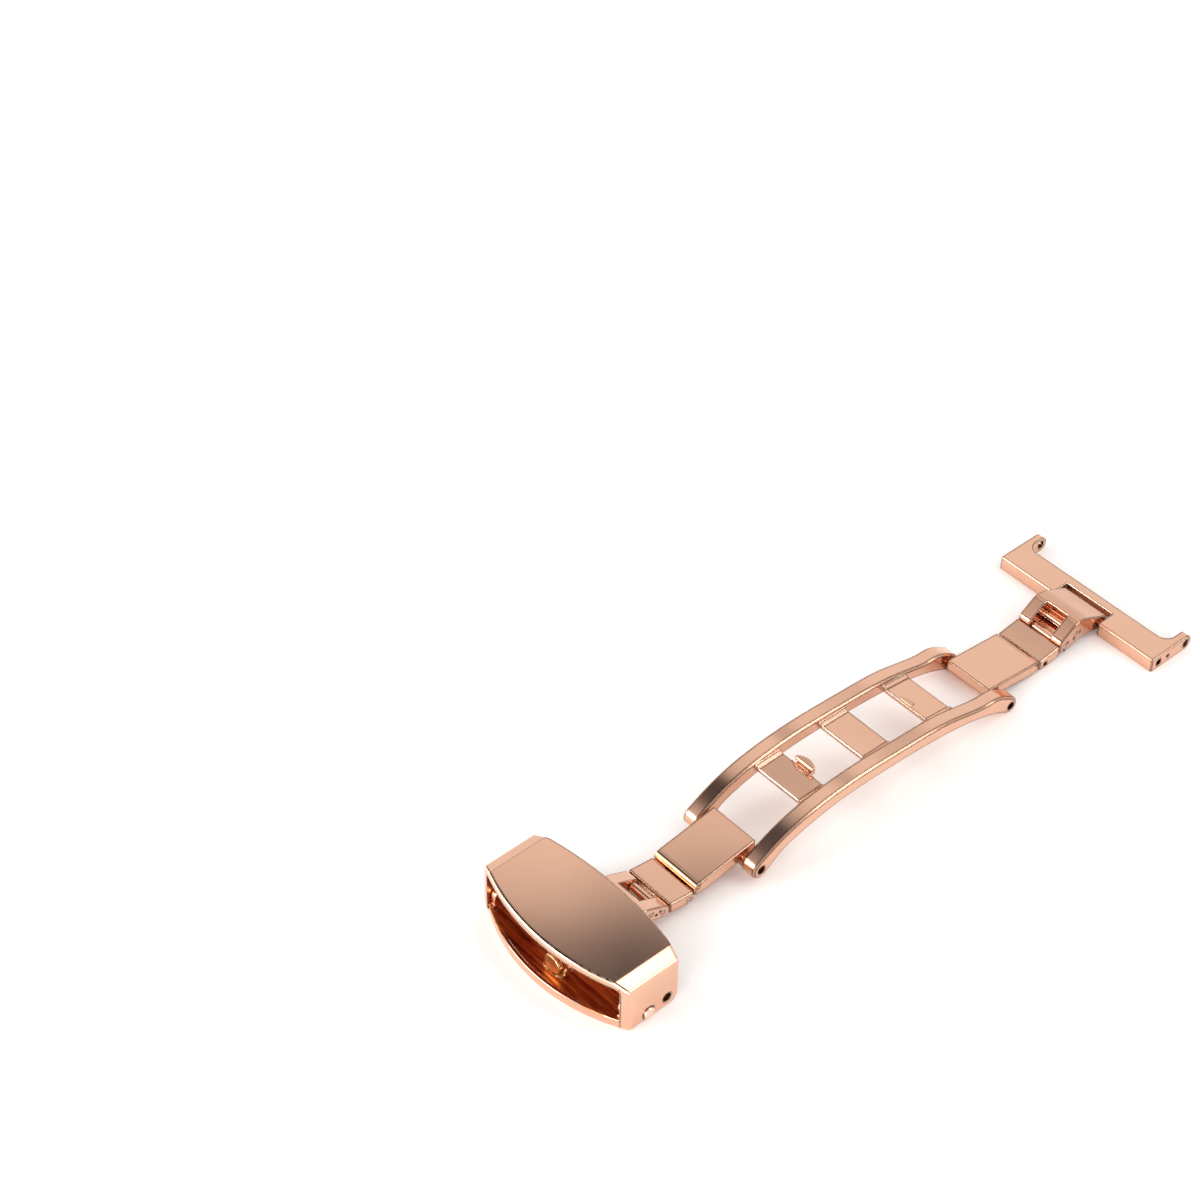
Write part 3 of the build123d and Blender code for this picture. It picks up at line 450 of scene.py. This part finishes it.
def makeStudio():
    world = bpy.data.worlds.new("studio")
    scene.world = world
    world.use_nodes = True
    tree = world.node_tree
    tree.nodes.clear()
    out = tree.nodes.new("ShaderNodeOutputWorld")
    light = addNode(
        tree, "ShaderNodeBackground",
        Color=(*studioLook["lightColour"], 1.0), Strength=studioLook["lightStrength"],
    )
    seen = addNode(tree, "ShaderNodeBackground", Strength=studioLook["seenStrength"])
    path = addNode(tree, "ShaderNodeLightPath")
    mix = addNode(tree, "ShaderNodeMixShader")
    either = addNode(tree, "ShaderNodeMath", operation="MAXIMUM")
    view = addNode(tree, "ShaderNodeTexCoord")
    direction = addNode(tree, "ShaderNodeSeparateXYZ")
    left = addSmooth(tree, *studioLook["dimLeft"])
    right = addSmooth(tree, *studioLook["dimRight"])
    level = addSmooth(tree, *studioLook["dimFloor"])
    between = addNode(tree, "ShaderNodeMath", operation="SUBTRACT")
    zone = addNode(tree, "ShaderNodeMath", operation="MULTIPLY")
    zoneInMetal = addNode(tree, "ShaderNodeMath", operation="MULTIPLY")
    factor, colour = addColourMix(tree, studioLook["seenColour"], studioLook["dimColour"])
    join = tree.links.new
    join(view.outputs["Generated"], direction.inputs[0])
    join(direction.outputs["X"], left.inputs["Value"])
    join(direction.outputs["X"], right.inputs["Value"])
    join(direction.outputs["Z"], level.inputs["Value"])
    join(left.outputs["Result"], between.inputs[0])
    join(right.outputs["Result"], between.inputs[1])
    join(between.outputs[0], zone.inputs[0])
    join(level.outputs["Result"], zone.inputs[1])
    join(zone.outputs[0], zoneInMetal.inputs[0])
    join(path.outputs["Is Glossy Ray"], zoneInMetal.inputs[1])
    join(zoneInMetal.outputs[0], factor)
    join(colour, seen.inputs["Color"])
    join(path.outputs["Is Camera Ray"], either.inputs[0])
    join(path.outputs["Is Glossy Ray"], either.inputs[1])
    join(either.outputs[0], mix.inputs[0])
    join(light.outputs[0], mix.inputs[1])
    join(seen.outputs[0], mix.inputs[2])
    join(mix.outputs[0], out.inputs["Surface"])


makeTable()
makeStudio()

# soft boxes: where they stand, where they point, how wide, all in metres, and how bright their face is
softBoxes = {
    "bandBox": {
        "place": (0.137, -0.100, 0.352), "aim": (-0.038, -0.010, 0.006), "size": 0.12, "bright": 2.2,
    },
    "edgeBox": {
        "place": (0.16, -0.24, 0.18), "aim": (0.0, 0.0, 0.0), "size": 0.16, "bright": 3.0,
    },
    "mouthBox": {
        "place": (-0.26, -0.09, 0.045), "aim": (-0.038, -0.002, 0.002), "size": 0.10, "bright": 11.0,
    },
    "frontBox": {
        "place": (-0.30, 0.17, 0.155), "aim": (-0.03, 0.0, 0.0), "size": 0.20, "bright": 5.0,
    },
}
for name, box in softBoxes.items():
    lamp = bpy.data.lights.new(name, "AREA")
    lamp.shape = "SQUARE"
    lamp.size = box["size"]
    lamp.energy = box["bright"] * math.pi * box["size"] ** 2
    holder = bpy.data.objects.new(name, lamp)
    bpy.context.collection.objects.link(holder)
    holder.location = box["place"]
    away = Vector(box["place"]) - Vector(box["aim"])
    holder.rotation_euler = away.to_track_quat("Z", "Y").to_euler()

# grey flags that only show as soft dark reflections in the plating, with middles and sides in mm
greyFlags = {
    "sleeveFlag": {"middle": (-22, 6, 34), "sides": (48, 40), "shade": (0.08, 0.09, 0.11), "soft": 0.95},
    "slopeFlag": {"middle": (-30, 30, 60), "sides": (50, 56), "shade": (0.04, 0.035, 0.035), "soft": 0.55},
    "barFlag": {"middle": (31, 35, 60), "sides": (14, 44), "shade": (0.60, 0.60, 0.60), "soft": 0.5},
    "linkFlag": {"middle": (60, 31, 60), "sides": (13, 44), "shade": (0.62, 0.62, 0.62), "soft": 0.4},
}


def makeFlag(name, flag):
    x, y, z = (v * mm for v in flag["middle"])
    wide, deep = (v * mm / 2 for v in flag["sides"])
    mat, tree, out = newMaterial(name)
    shade = addNode(tree, "ShaderNodeEmission", Color=(*flag["shade"], 1.0), Strength=1.0)
    clear = addNode(tree, "ShaderNodeBsdfTransparent")
    place = addNode(tree, "ShaderNodeTexCoord")
    spread = addNode(
        tree, "ShaderNodeMapping",
        Location=(-x / wide, -y / deep, 0.0), Scale=(1 / wide, 1 / deep, 0.0),
    )
    fade = addNode(tree, "ShaderNodeTexGradient", gradient_type="SPHERICAL")
    ramp = addSmooth(tree, 0.0, flag["soft"])
    blend = addNode(tree, "ShaderNodeMixShader")
    join = tree.links.new
    join(place.outputs["Object"], spread.inputs["Vector"])
    join(spread.outputs["Vector"], fade.inputs["Vector"])
    join(fade.outputs["Fac"], ramp.inputs["Value"])
    join(ramp.outputs["Result"], blend.inputs[0])
    join(clear.outputs[0], blend.inputs[1])
    join(shade.outputs[0], blend.inputs[2])
    join(blend.outputs[0], out.inputs["Surface"])
    card = makeSheet(name, (x, y, z), wide, deep, mat)
    card.visible_camera = False
    card.visible_diffuse = False
    card.visible_transmission = False
    card.visible_shadow = False


for name, flag in greyFlags.items():
    makeFlag(name, flag)

# the camera as read back from the photo: angles in degrees, target and distance in mm, clips in metres
shot = {
    "lens": 86.17, "sensor": 36.0, "azimuth": -42.174, "elevation": 42.919, "roll": 1.016,
    "target": (-1.466, 36.269, 0.0), "distance": 316.626, "clipStart": 0.01, "clipEnd": 20.0,
}


def placeCamera(shot):
    turn = math.radians(shot["azimuth"])
    lift = math.radians(shot["elevation"])
    roll = math.radians(shot["roll"])
    back = Vector((math.sin(turn) * math.cos(lift), -math.cos(turn) * math.cos(lift), math.sin(lift)))
    right = Vector((0, 0, 1)).cross(back).normalized()
    up = back.cross(right)
    rolledRight = right * math.cos(roll) + up * math.sin(roll)
    rolledUp = up * math.cos(roll) - right * math.sin(roll)
    data = bpy.data.cameras.new("shot")
    data.lens = shot["lens"]
    data.sensor_width = shot["sensor"]
    data.sensor_fit = "HORIZONTAL"
    data.clip_start = shot["clipStart"]
    data.clip_end = shot["clipEnd"]
    camera = bpy.data.objects.new("shot", data)
    bpy.context.collection.objects.link(camera)
    pose = Matrix((rolledRight, rolledUp, back)).transposed().to_4x4()
    pose.translation = (Vector(shot["target"]) + back * shot["distance"]) * mm
    camera.matrix_world = pose
    scene.camera = camera


placeCamera(shot)

print("scene ready")
